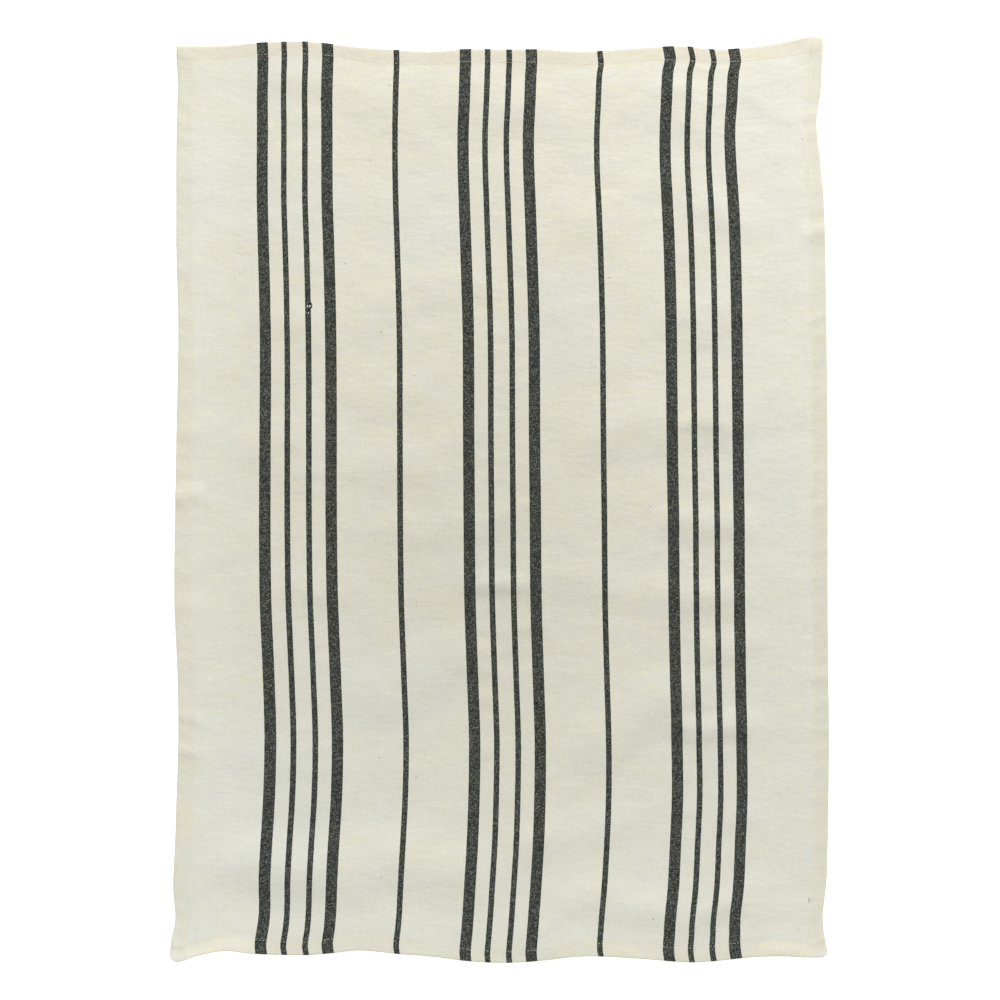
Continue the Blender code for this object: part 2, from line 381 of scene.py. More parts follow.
STRAYS = (
    Stray("knot_top", 103.1, 501.4, 2.4, 10, 140, 0.55, Tone.DARK),
    Stray("knot_side", 103.9, 499.2, 5.2, -95, -110, 0.42, Tone.DARK),
    Stray("knot_foot", 102.2, 496.3, 2.2, -20, 160, 0.55, Tone.DARK),
    Stray("knot_heart", 102.7, 499.3, 2.2, 80, 140, 0.38, Tone.PALE),
    Stray("knot_light", 101.1, 499.2, 1.8, 80, 120, 0.34, Tone.PALE),
    Stray("knot_tail", 101.6, 493.9, 1.6, 60, 120, 0.26, Tone.PALE),
    Stray("nub", 114.6, 657.3, 2.2, 30, 220, 0.62, Tone.DARK),
    Stray("nub_right", 429.4, 679.9, 2.0, 50, 160, 0.75, Tone.DARK),
    Stray("nub_middle", 272.8, 194.0, 2.2, 20, 160, 0.80, Tone.DARK),
    Stray("pulled_high", 490.2, 638.5, 5.0, -78, -24, 0.22, Tone.PALE),
    Stray("pulled_low", 486.9, 630.6, 9.5, -86, -14, 0.22, Tone.PALE),
    Stray("pulled_turn", 488.4, 623.4, 6.0, -60, -130, 0.30, Tone.PALE),
    Stray("fibre", 487.9, 43.6, 4.6, -62, 14, 0.20, Tone.GREY),
    Stray("fleck", 367.2, 31.1, 1.0, 80, 60, 0.28, Tone.GREY),
    Stray("nep_top", 166.6, 672.2, 1.0, 20, 120, 0.24, Tone.GREY),
    Stray("nep_high", 152.1, 612.8, 0.9, 70, 120, 0.22, Tone.GREY),
    Stray("nep_left", 44.5, 521.3, 0.9, 40, 120, 0.22, Tone.GREY),
    Stray("nep_group", 130.9, 532.0, 0.9, 10, 120, 0.22, Tone.GREY),
    Stray("nep_field", 157.3, 479.7, 1.1, 60, 120, 0.26, Tone.GREY),
    Stray("nep_stripe", 182.4, 445.8, 0.9, 100, 120, 0.22, Tone.GREY),
    Stray("nep_right", 333.5, 521.3, 0.9, 30, 120, 0.22, Tone.GREY),
    Stray("nep_beside", 362.7, 344.9, 0.9, 80, 120, 0.22, Tone.GREY),
    Stray("nep_middle", 182.8, 271.8, 0.9, 50, 120, 0.22, Tone.GREY),
    Stray("nep_low", 150.6, 151.6, 0.9, 0, 120, 0.22, Tone.GREY),
    Stray("nep_lower", 179.3, 137.0, 0.9, 45, 120, 0.22, Tone.GREY),
    Stray("nep_lowest", 156.2, 58.4, 0.9, 90, 120, 0.22, Tone.GREY),
    Stray("nep_corner", 480.2, 21.0, 0.9, 20, 120, 0.22, Tone.GREY),
)

STITCH_ROWS = (
    RowPlace(0, 10.0, 10.5),
    RowPlace(62, 9.6, 10.9),
    RowPlace(97, 9.7, 10.1),
    RowPlace(122, 9.6, 11.1),
    RowPlace(170, 10.4, 10.0),
    RowPlace(224, 10.0, 9.3),
    RowPlace(275, 10.2, 8.6),
    RowPlace(330, 10.0, 10.0),
    RowPlace(378, 10.4, 10.9),
    RowPlace(398, 11.8, 10.9),
    RowPlace(414, 10.2, 11.6),
    RowPlace(434, 10.0, 12.0),
    RowPlace(470, 11.2, 11.4),
    RowPlace(500, 12.0, 11.0),
)


def column(rows: Sequence[NamedTuple], name: str) -> Array:
    """Return one named column of a table.

    Args:
        rows: The table's rows.
        name: The column's name.

    Returns:
        The column's numbers.
    """
    return np.array([getattr(row, name) for row in rows], dtype=float)


def smooth_read(places: Array, values: Array, at: Array) -> Array:
    """Read a smooth curve through the given values.

    Between two places it is the cubic that has both values and, at each of them, the slope
    that the neighbours on its two sides give.

    Args:
        places: Where the values hold, rising.
        values: The values there.
        at: Where to read the curve.

    Returns:
        The curve's values at those places.
    """
    slopes = np.gradient(values, places)
    before = np.clip(np.searchsorted(places, at, side="right") - 1, 0, len(places) - 2)
    step = places[before + 1] - places[before]
    part = (at - places[before]) / step
    return (
        (1 + 2 * part) * (1 - part) ** 2 * values[before]
        + part * (1 - part) ** 2 * step * slopes[before]
        + part**2 * (3 - 2 * part) * values[before + 1]
        - part**2 * (1 - part) * step * slopes[before + 1]
    )


def ease(part: Array) -> Array:
    """Go smoothly from 0 to 1 as the part goes from 0 to 1: three squares less two cubes."""
    part = np.clip(part, 0.0, 1.0)
    return part * part * (3.0 - 2.0 * part)


def ridge_height(rows: Sequence[Ridge], fade: float, across: Array, along: Array) -> Array:
    """Return how high a table of ridges lifts the cloth.

    Each ridge is an eased hump across its width that fades out over the last part of its
    half length. Ridges that meet are joined by the root of the sum of their squares.

    Args:
        rows: The ridges.
        fade: The part of the half length over which a ridge sinks to nothing.
        across: Places from the left side.
        along: Places from the bottom end.

    Returns:
        The lift at each place.
    """
    squares = np.zeros(np.broadcast(across, along).shape)
    for ridge in rows:
        turn = np.radians(ridge.turn)
        right = across - ridge.from_left
        up = along - ridge.from_bottom
        lengthways = 2.0 * (right * np.cos(turn) + up * np.sin(turn)) / ridge.length
        widthways = 2.0 * (up * np.cos(turn) - right * np.sin(turn)) / ridge.width
        hump = ease(1.0 - np.abs(widthways)) * ease((1.0 - np.abs(lengthways)) / fade)
        squares += (ridge.height * hump) ** 2
    return np.sqrt(squares)


@dataclass(frozen=True)
class Hem:
    """The double-turned hem, in millimetres from its folded edge.

    The cloth is turned to the back twice, so the hem is three layers thick. The face comes
    down from it over the slope, and the row of stitches lies in a shallow groove. The rope
    is the slanting pucker that sewing leaves: it is full up to a part of the row's depth.
    """

    fold: float = 12.3
    slope: float = 38.0
    thickness: float = 1.6
    back_step: float = 0.5
    row: float = 10.2
    side_row: float = 9.9
    groove_depth: float = 0.03
    groove_reach: float = 2.2
    overlap_loss: float = 0.35
    side_rope: float = 0.45
    end_rope: float = 0.22
    rope_period: float = 19.0
    rope_slant: float = 40.0
    rope_drift: tuple[Swing, ...] = (Swing(2.2, 31.0), Swing(2.2, 13.0, start=1.0))
    rope_rise: Swing = Swing(0.45, 37.0, start=0.8)
    rope_fall: Swing = Swing(1.0, 15.0)
    rope_full: float = 0.6
    rope_reach: float = 9.0


@dataclass(frozen=True)
class SmallWaves:
    """Gentle unevenness all over the cloth: a seeded sum of sines whose crests run across."""

    seed: int = 11
    count: int = 30
    shortest: float = 16.0
    longest: float = 80.0
    heading: float = 90.0
    spread: float = 40.0
    lowest: float = -1.7
    highest: float = 1.9
    height: float = 0.40

    def lift(self, across: Array, along: Array) -> Array:
        """Return the lift of the small waves.

        The sum of the sines, each as high as its wavelength so that all are as steep, is
        brought to a spread of 1 and then eased from nothing at the lowest sum to the full
        height at the highest.

        Args:
            across: Places from the left side.
            along: Places from the bottom end.

        Returns:
            The lift at each place.
        """
        draw = np.random.default_rng(self.seed)
        wavelengths = draw.uniform(self.shortest, self.longest, self.count)
        turns = np.radians(self.heading + draw.normal(0.0, self.spread, self.count))
        phases = draw.uniform(0.0, 2.0 * np.pi, self.count)
        total = np.zeros(np.broadcast(across, along).shape)
        for wavelength, turn, phase in zip(wavelengths, turns, phases):
            run = across * np.cos(turn) + along * np.sin(turn)
            total += wavelength * np.sin(2.0 * np.pi * run / wavelength + phase)
        total /= np.sqrt((wavelengths**2).sum() / 2.0)
        return self.height * ease((total - self.lowest) / (self.highest - self.lowest))


@dataclass(frozen=True)
class ClothLay:
    """How the towel lies: it turns places in the cloth into points in space, in millimetres.

    The crests of the ridges wander, rise and fall by the swings that start with crest, and
    the puckers bend, drift and come and go by those that start with pucker. What is sewn or
    strewn on the cloth keeps the inset from its edges. The box of the outline is read at
    the places of the outline's grid.
    """

    width: float = 500.0
    length: float = 700.0
    group_a: float = 93.0
    group_b: float = 249.5
    group_c: float = 405.5
    end_reach: float = 170.0
    ridge_fade: float = 0.6
    fine_fade: float = 0.7
    crest_wander: tuple[Swing, ...] = (Swing(2.6, 19.0, 37.0), Swing(1.7, 8.5, -23.0))
    crest_rise: Swing = Swing(0.22, 15.0, 29.0, 2.0)
    crest_fall: Swing = Swing(1.0, 27.0)
    pucker_bend: Swing = Swing(1.4, 9.0, 41.0)
    pucker_drift: Swing = Swing(1.1, math.inf, 23.0)
    pucker_rise: Swing = Swing(0.4, 13.0, 17.0)
    pucker_fades: tuple[float, float] = (2.0, 3.0)
    layer: float = 0.6
    inset: float = 0.3
    outline_grid: tuple[int, int] = (201, 281)
    hem: Hem = Hem()
    waves: SmallWaves = SmallWaves()

    def shifted(self, across: Array, along: Array) -> tuple[Array, Array]:
        """Return the places on the surface, from the middle of a straight towel.

        The sideways shift is read from COURSES at the sides and the stripe groups and
        blended evenly between them. The ends' waves are read from WAVES and die away inside
        the ends' reach. The corners are pulled in to quarter circles.

        Args:
            across: Places from the left side.
            along: Places from the bottom end.

        Returns:
            How far right and how far up each place lies.
        """
        heights = column(COURSES, "from_bottom")
        warps = {
            "left_side": 0.0,
            "group_a": self.group_a,
            "group_b": self.group_b,
            "group_c": self.group_c,
            "right_side": self.width,
        }
        places = list(warps.values())
        shift = np.zeros(np.broadcast(across, along).shape)
        for name, place in warps.items():
            share = np.interp(across, places, [float(other == place) for other in places])
            shift += smooth_read(heights, column(COURSES, name), along) * share
        places = column(WAVES, "from_left")
        top = smooth_read(places, column(WAVES, "top_end"), across)
        bottom = smooth_read(places, column(WAVES, "bottom_end"), across)
        rise = top * (1.0 - ease((self.length - along) / self.end_reach))
        rise += bottom * (1.0 - ease(along / self.end_reach))
        across, along = self.round_corners(across, along)
        return across + shift - self.width / 2.0, along + rise - self.length / 2.0

    def round_corners(self, across: Array, along: Array) -> tuple[Array, Array]:
        """Pull the square corners in to quarter circles, in the cloth's own plane.

        Args:
            across: Places from the left side.
            along: Places from the bottom end.

        Returns:
            The places after the pull.
        """
        for corner in CORNERS:
            right = 1.0 if corner.side is Side.LEFT else -1.0
            up = 1.0 if corner.end is End.BOTTOM else -1.0
            to_side = across if corner.side is Side.LEFT else self.width - across
            to_end = along if corner.end is End.BOTTOM else self.length - along
            near = (to_side < corner.radius) & (to_end < corner.radius)
            side_part = np.where(near, 1.0 - to_side / corner.radius, 0.0)
            end_part = np.where(near, 1.0 - to_end / corner.radius, 0.0)
            pull_side = corner.radius * side_part * (1.0 - np.sqrt(1.0 - end_part**2 / 2.0))
            pull_end = corner.radius * end_part * (1.0 - np.sqrt(1.0 - side_part**2 / 2.0))
            across = across + right * pull_side
            along = along + up * pull_end
        return across, along

    def middle(self) -> tuple[float, float]:
        """Return the middle of the outline's box, in the straight towel's own frame."""
        across, along = np.meshgrid(
            np.linspace(0.0, self.width, self.outline_grid[0]),
            np.linspace(0.0, self.length, self.outline_grid[1]),
        )
        right, up = self.shifted(across, along)
        return (right.min() + right.max()) / 2.0, (up.min() + up.max()) / 2.0

    def to_edges(self, across: Array, along: Array) -> tuple[Array, Array]:
        """Return the distances to the nearer side and to the nearer end."""
        return np.minimum(across, self.width - across), np.minimum(along, self.length - along)

    def kept_in(self, across: Array, along: Array) -> tuple[Array, Array]:
        """Return the places, moved in where they are nearer to an edge than the inset."""
        return (
            np.clip(across, self.inset, self.width - self.inset),
            np.clip(along, self.inset, self.length - self.inset),
        )

    def lift(self, across: Array, along: Array) -> Array:
        """Return how high the underside of the cloth is off the table, apart from the hems.

        The ridges and the fine ridges are read at places that wander a little, so that
        their crests aren't straight. The small waves, the puckers and the twist of the hems
        are added to them.

        Args:
            across: Places from the left side.
            along: Places from the bottom end.

        Returns:
            The lift at each place.
        """
        wander = sum(swing.at(across, along) for swing in self.crest_wander)
        uneven = 1.0 + self.crest_rise.at(across, along) * self.crest_fall.at(across)
        ridges = ridge_height(RIDGES, self.ridge_fade, across, along + wander) * uneven
        ridges += ridge_height(FINE_RIDGES, self.fine_fade, across, along + wander)
        puckers = sum(self.pucker(pucker, across, along) for pucker in PUCKERS)
        return ridges + self.waves.lift(across, along) + puckers + self.rope(across, along)

    def pucker(self, pucker: Pucker, across: Array, along: Array) -> Array:
        """Return the lift of one patch of puckers.

        It is the square of the upper half of a sine that runs up the cloth, with a drifting
        phase and a strength that comes and goes, faded out at the patch's edges.

        Args:
            pucker: The patch.
            across: Places from the left side.
            along: Places from the bottom end.

        Returns:
            The lift at each place.
        """
        right = np.abs(across - pucker.from_left) * 2.0 / pucker.width
        up = np.abs(along - pucker.from_bottom) * 2.0 / pucker.length
        drift = self.pucker_bend.at(across, along)
        drift += self.pucker_drift.at(across, along, pucker.from_left)
        wave = np.clip(np.sin(2.0 * np.pi * along / pucker.period + drift), 0.0, 1.0) ** 2
        rise = self.pucker_rise
        strength = 1.0 - rise.size + rise.at(across, along, pucker.from_left)
        side_fade, end_fade = self.pucker_fades
        inside = ease(side_fade * (1.0 - right)) * ease(end_fade * (1.0 - up))
        return pucker.height * wave * strength * inside

    def rope(self, across: Array, along: Array) -> Array:
        """Return the lift of the slanting puckers that sewing leaves in the hems.

        It is the square of the upper half of a sine that runs along the hem and slants with
        the distance from the edge. It comes and goes, and it dies away past the stitches.

        Args:
            across: Places from the left side.
            along: Places from the bottom end.

        Returns:
            The lift at each place.
        """
        hem = self.hem
        total = np.zeros(np.broadcast(across, along).shape)
        heights = (hem.side_rope, hem.end_rope)
        for height, depth, run in zip(heights, self.to_edges(across, along), (along, across)):
            drift = sum(swing.at(run) for swing in hem.rope_drift)
            turn = 2.0 * np.pi * (run / hem.rope_period + depth / hem.rope_slant) + drift
            strength = 1.0 - hem.rope_rise.size + hem.rope_rise.at(run) * hem.rope_fall.at(run)
            inside = 1.0 - ease((depth - hem.rope_full * hem.row) / hem.rope_reach)
            total += height * np.clip(np.sin(turn), 0.0, 1.0) ** 2 * strength * inside
        return total

    def hem_rise(self, across: Array, along: Array) -> Array:
        """Return what the turned-in layers add under the face, at the sides and the ends."""
        hem = self.hem
        side, end = (
            1.0 - ease((depth - hem.fold) / hem.slope) for depth in self.to_edges(across, along)
        )
        return (hem.thickness - self.layer) * (side + end - hem.overlap_loss * side * end)

    def groove(self, across: Array, along: Array) -> Array:
        """Return how deep the stitches pull the face down: a bell round each row."""
        hem = self.hem
        end_row = self.row_depth(across, np.where(along > self.length / 2.0, 1.0, 0.0))
        to_side, to_end = self.to_edges(across, along)
        off_row = np.minimum(np.abs(to_side - hem.side_row), np.abs(to_end - end_row))
        return hem.groove_depth * np.exp(-((off_row / hem.groove_reach) ** 2))

    def row_depth(self, across: Array, at_top: Array) -> Array:
        """Return how far the end hems' stitches lie from the edge.

        Args:
            across: Places from the left side.
            at_top: 1 for the top hem and 0 for the bottom one.

        Returns:
            The depth of the row at each place, a smooth curve through STITCH_ROWS.
        """
        places = column(STITCH_ROWS, "from_left")
        top = smooth_read(places, column(STITCH_ROWS, "top_row"), across)
        bottom = smooth_read(places, column(STITCH_ROWS, "bottom_row"), across)
        return at_top * top + (1.0 - at_top) * bottom

    def rim(self, across: Array, along: Array) -> Array:
        """Return 0 on the folded edge and 1 inside it: the height of a half-round edge."""
        radius = self.hem.thickness / 2.0
        depth = np.clip(np.minimum(*self.to_edges(across, along)) / radius, 0.0, 1.0)
        return np.sqrt(1.0 - (1.0 - depth) ** 2)

    def height(self, face: Face, across: Array, along: Array) -> Array:
        """Return the height of one face of the cloth.

        The face stands one layer and the hem's rise above the lift. Where a hem is turned
        in, the underside stays down, and past the fold it steps up to one layer below the
        face. At the rim both faces bend to half the hem's thickness.

        Args:
            face: Which face.
            across: Places from the left side.
            along: Places from the bottom end.

        Returns:
            The height at each place.
        """
        hem = self.hem
        lift = self.lift(across, along)
        rise = self.hem_rise(across, along)
        rim = self.rim(across, along)
        middle = (self.layer + rise) / 2.0
        if face is Face.UPPER:
            return lift + middle * (1.0 + rim) - self.groove(across, along)
        side, end = (ease((d - hem.fold) / hem.back_step) for d in self.to_edges(across, along))
        return lift + middle * (1.0 - rim) + rise * side * end

    def points(
        self, face: Face, across: Array, along: Array, proud: Union[Array, float] = 0.0
    ) -> Array:
        """Return points on one face of the cloth, about the middle of its outline.

        Args:
            face: Which face.
            across: Places from the left side.
            along: Places from the bottom end.
            proud: How far above the face the points stand.

        Returns:
            The points, with x, y and z on the last axis.
        """
        right, up = self.shifted(across, along)
        middle_x, middle_y = self.middle()
        height = self.height(face, across, along) + proud
        return np.stack((right - middle_x, up - middle_y, height), axis=-1)


def make_object(
    name: str,
    points: Array,
    faces: Sequence[NDArray[np.int64]],
    maps: Mapping[str, Sequence[Array]],
) -> bpy.types.Object:
    """Make a smooth mesh object at the origin from whole arrays.

    Args:
        name: The object's name.
        points: Its points in millimetres, one row each.
        faces: Arrays of faces, each with as many columns as its faces have corners.
        maps: For each UV map, one array for each array of faces: face, corner, and u and v.

    Returns:
        The object, in the scene.
    """
    corners = np.concatenate([rows.ravel() for rows in faces])
    counts = np.concatenate([np.full(len(rows), rows.shape[1]) for rows in faces])
    mesh = bpy.data.meshes.new(name)
    mesh.vertices.add(len(points))
    mesh.vertices.foreach_set("co", (points * MM).astype(np.float32).ravel())
    mesh.loops.add(len(corners))
    mesh.loops.foreach_set("vertex_index", corners.astype(np.int32))
    mesh.polygons.add(len(counts))
    mesh.polygons.foreach_set("loop_start", (np.cumsum(counts) - counts).astype(np.int32))
    mesh.polygons.foreach_set("loop_total", counts.astype(np.int32))
    mesh.update(calc_edges=True)
    for map_name, parts in maps.items():
        layer = mesh.uv_layers.new(name=map_name)
        places = np.concatenate([part.reshape(-1, 2) for part in parts])
        layer.uv.foreach_set("vector", places.astype(np.float32).ravel())
    mesh.shade_smooth()
    made = bpy.data.objects.new(name, mesh)
    bpy.context.scene.collection.objects.link(made)
    return made


def sew(name: str, paths: Array, radii: Array, sides: int) -> bpy.types.Object:
    """Make one mesh of many round strands that are closed at both ends.

    Each strand is a ring carried along its path: centre plus radius times the cosine of the
    angle to the side and its sine upwards, with a point at each end. The side is square to
    the path and to NEARLY_UP, which no strand runs along.

    Args:
        name: The object's name.
        paths: Points in millimetres, by strand, station and x, y and z.
        radii: The radius at each station, by strand and station.
        sides: The number of sides of each ring.

    Returns:
        The object, in the scene, with its YARN_MAP in metres along and round the strand.
    """
    strands, stations, _ = paths.shape
    ahead = np.gradient(paths, axis=1)
    ahead /= np.linalg.norm(ahead, axis=2, keepdims=True)
    sideways = np.cross(ahead, NEARLY_UP)
    sideways /= np.linalg.norm(sideways, axis=2, keepdims=True)
    upwards = np.cross(sideways, ahead)
    angles = np.linspace(0.0, 2.0 * np.pi, sides, endpoint=False)
    rings = (
        paths[:, :, None]
        + radii[:, :, None, None]
        * (
            np.cos(angles)[None, None, :, None] * sideways[:, :, None]
            + np.sin(angles)[None, None, :, None] * upwards[:, :, None]
        )
    )
    tips = np.stack(
        (
            paths[:, 0] - ahead[:, 0] * radii[:, :1],
            paths[:, -1] + ahead[:, -1] * radii[:, -1:],
        ),
        axis=1,
    )
    points = np.concatenate((rings.reshape(-1, 3), tips.reshape(-1, 3)))

    strand, station, side = np.meshgrid(
        np.arange(strands), np.arange(stations - 1), np.arange(sides), indexing="ij"
    )
    after = (side + 1) % sides
    base = (strand * stations + station) * sides
    quads = np.stack((base + side, base + sides + side, base + sides + after, base + after), -1)
    first = np.arange(strands)[:, None] * stations * sides
    last = first + (stations - 1) * sides
    ring = np.arange(sides)[None]
    turned = (ring + 1) % sides
    tip = strands * stations * sides + 2 * np.arange(strands)[:, None]
    starts = np.stack(np.broadcast_arrays(first + ring, first + turned, tip), -1)
    finishes = np.stack(np.broadcast_arrays(last + turned, last + ring, tip + 1), -1)
    triangles = np.concatenate((starts.reshape(-1, 3), finishes.reshape(-1, 3)))

    steps = np.linalg.norm(np.diff(paths, axis=1), axis=2)
    run = np.concatenate((np.zeros((strands, 1)), np.cumsum(steps, axis=1)), axis=1) * MM
    u = np.stack((run[strand, station], run[strand, station + 1]), -1)[..., [0, 1, 1, 0]]
    v = np.stack((side, side, side + 1, side + 1), -1) / sides
    quad_map = np.stack((u, v), -1)
    tip_map = np.zeros((len(triangles), 3, 2))
    return make_object(
        name, points, (quads.reshape(-1, 4), triangles), {YARN_MAP: (quad_map, tip_map)}
    )


class Wire:
    """A number that changes over the surface: an output socket with Python's operators."""

    def __init__(self, graph: "Graph", socket: bpy.types.NodeSocket) -> None:
        """Wrap an output socket of the graph."""
        self.graph = graph
        self.socket = socket

    def __add__(self, other: "Value") -> "Wire":
        """Return the sum."""
        return self.graph.maths("ADD", self, other)

    __radd__ = __add__

    def __sub__(self, other: "Value") -> "Wire":
        """Return this less the other."""
        return self.graph.maths("SUBTRACT", self, other)

    def __rsub__(self, other: "Value") -> "Wire":
        """Return the other less this."""
        return self.graph.maths("SUBTRACT", other, self)

    def __mul__(self, other: "Value") -> "Wire":
        """Return the product."""
        return self.graph.maths("MULTIPLY", self, other)

    __rmul__ = __mul__

    def __truediv__(self, other: "Value") -> "Wire":
        """Return this divided by the other."""
        return self.graph.maths("DIVIDE", self, other)

    def __mod__(self, other: "Value") -> "Wire":
        """Return what is left over, from 0 up to the other."""
        return self.graph.maths("FLOORED_MODULO", self, other)

    def __abs__(self) -> "Wire":
        """Return the size without the sign."""
        return self.graph.maths("ABSOLUTE", self)

    def __lt__(self, other: "Value") -> "Wire":
        """Return 1 where this is less than the other, and 0 elsewhere."""
        return self.graph.maths("LESS_THAN", self, other)

    def __gt__(self, other: "Value") -> "Wire":
        """Return 1 where this is more than the other, and 0 elsewhere."""
        return self.graph.maths("GREATER_THAN", self, other)

    def floor(self) -> "Wire":
        """Return the whole number below."""
        return self.graph.maths("FLOOR", self)

    def cosine(self) -> "Wire":
        """Return the cosine."""
        return self.graph.maths("COSINE", self)

    def power(self, exponent: float) -> "Wire":
        """Return this raised to a power."""
        return self.graph.maths("POWER", self, exponent)

    def least(self, other: "Value") -> "Wire":
        """Return the smaller of the two."""
        return self.graph.maths("MINIMUM", self, other)

    def most(self, other: "Value") -> "Wire":
        """Return the larger of the two."""
        return self.graph.maths("MAXIMUM", self, other)

    def rising(self, low: float, high: float) -> "Wire":
        """Return an eased step from 0 at low to 1 at high."""
        return self.graph.node(
            "ShaderNodeMapRange",
            {"interpolation_type": "SMOOTHSTEP"},
            {"Value": self, "From Min": low, "From Max": high},
        )


Value = Union[Wire, float]


class Graph:
    """The node tree of one new material. The gain brings noise to about -1 to 1."""

    NOISE_ROUGHNESS = 0.55
    NOISE_GAIN = 4.0

    def __init__(self, name: str) -> None:
        """Make the material and clear its nodes."""
        self.material = bpy.data.materials.new(name)
        self.material.use_nodes = True
        self.tree = self.material.node_tree
        self.tree.nodes.clear()

    def node(
        self,
        kind: str,
        settings: Mapping[str, Any],
        sockets: Mapping[Union[str, int], Any],
        output: Union[str, int] = 0,
    ) -> Wire:
        """Add a node.

        Args:
            kind: The node's type.
            settings: Its own settings, which are made first.
            sockets: A value or a wire for each input, by name or number.
            output: The output to return.

        Returns:
            The wire that leaves it.
        """
        made = self.tree.nodes.new(kind)
        for name, setting in settings.items():
            setattr(made, name, setting)
        for key, value in sockets.items():
            if isinstance(value, Wire):
                self.tree.links.new(value.socket, self.find(made.inputs, key))
            else:
                self.find(made.inputs, key).default_value = value
        return Wire(self, self.find(made.outputs, output))

    @staticmethod
    def find(sockets: Any, key: Union[str, int]) -> bpy.types.NodeSocket:
        """Return a node's socket by its number, its name or its identifier."""
        if isinstance(key, int):
            return sockets[key]
        return next(socket for socket in sockets if key in (socket.name, socket.identifier))

    def maths(self, operation: str, *values: Value) -> Wire:
        """Add a Math node on one to three values."""
        return self.node("ShaderNodeMath", {"operation": operation}, dict(enumerate(values)))

    def mix(self, share: Value, first: Any, second: Any) -> Wire:
        """Mix two colours: the share is how much of the second there is."""
        sockets = {"Factor_Float": share, "A_Color": first, "B_Color": second}
        return self.node("ShaderNodeMix", {"data_type": "RGBA"}, sockets, "Result_Color")

    def scaled(self, colour: Wire, by: Value) -> Wire:
        """Return a colour made lighter or darker."""
        return self.node(
            "ShaderNodeVectorMath", {"operation": "SCALE"}, {"Vector": colour, "Scale": by}
        )

    def cloud(self, cloud: Cloud, x: Wire, y: Wire) -> Wire:
        """Return a cloud's noise: about 0, and mostly no further from it than the strength.

        Args:
            cloud: The cloud.
            x: The place across the spots' width.
            y: The place along their length.

        Returns:
            The noise.
        """
        axes = {"X": x / cloud.width, "Y": y / cloud.length, "Z": cloud.cut}
        place = self.node("ShaderNodeCombineXYZ", {}, axes)
        sockets = {
            "Vector": place,
            "Scale": 1.0,
            "Detail": cloud.layers,
            "Roughness": self.NOISE_ROUGHNESS,
        }
        fac = self.node("ShaderNodeTexNoise", {"noise_dimensions": "3D"}, sockets)
        return (fac - 0.5) * (self.NOISE_GAIN * cloud.strength)

    def chance(self, x: Value, y: Value) -> Wire:
        """Return a number from 0 to 1 for each pair of whole numbers, with no pattern."""
        place = self.node("ShaderNodeCombineXYZ", {}, {"X": x, "Y": y})
        return self.node("ShaderNodeTexWhiteNoise", {"noise_dimensions": "2D"}, {"Vector": place})

    def place_on_map(self, map_name: str) -> tuple[Wire, Wire]:
        """Return the two coordinates of one of the piece's UV maps."""
        place = self.node("ShaderNodeUVMap", {"uv_map": map_name}, {})
        parts = {"Vector": place}
        return tuple(self.node("ShaderNodeSeparateXYZ", {}, parts, axis) for axis in "XY")

    def finish(
        self, colour: Union[Wire, Colour], roughness: Value, height: Wire, steady: Mapping[str, Any]
    ) -> bpy.types.Material:
        """Close the graph with a Principled shader.

        Args:
            colour: The base colour.
            roughness: The roughness.
            height: The bump, in millimetres.
            steady: Values of other sockets that are the same all over.

        Returns:
            The material.
        """
        normal = self.node(
            "ShaderNodeBump", {}, {"Strength": 1.0, "Distance": MM, "Height": height}
        )
        sockets = {"Base Color": colour, "Roughness": roughness, "Normal": normal, **steady}
        shader = self.node("ShaderNodeBsdfPrincipled", {}, sockets)
        output = self.tree.nodes.new("ShaderNodeOutputMaterial")
        self.tree.links.new(shader.socket, output.inputs["Surface"])
        return self.material


@dataclass(frozen=True)
class StripePlan:
    """Where the dark warp threads lie, counted in threads from the middle of a group.

    Every repeat holds a wide stripe and a thin one on both sides of the group's middle. A
    lone thin stripe stands half way between two groups.
    """

    pitch: float = 0.55
    first_thread: float = 0.25
    middle_group: float = 453.0
    repeat: float = 284.0
    wide: tuple[float, float] = (38.0, 54.0)
    thin: tuple[float, float] = (11.0, 19.0)
    lone_reach: float = 4.0


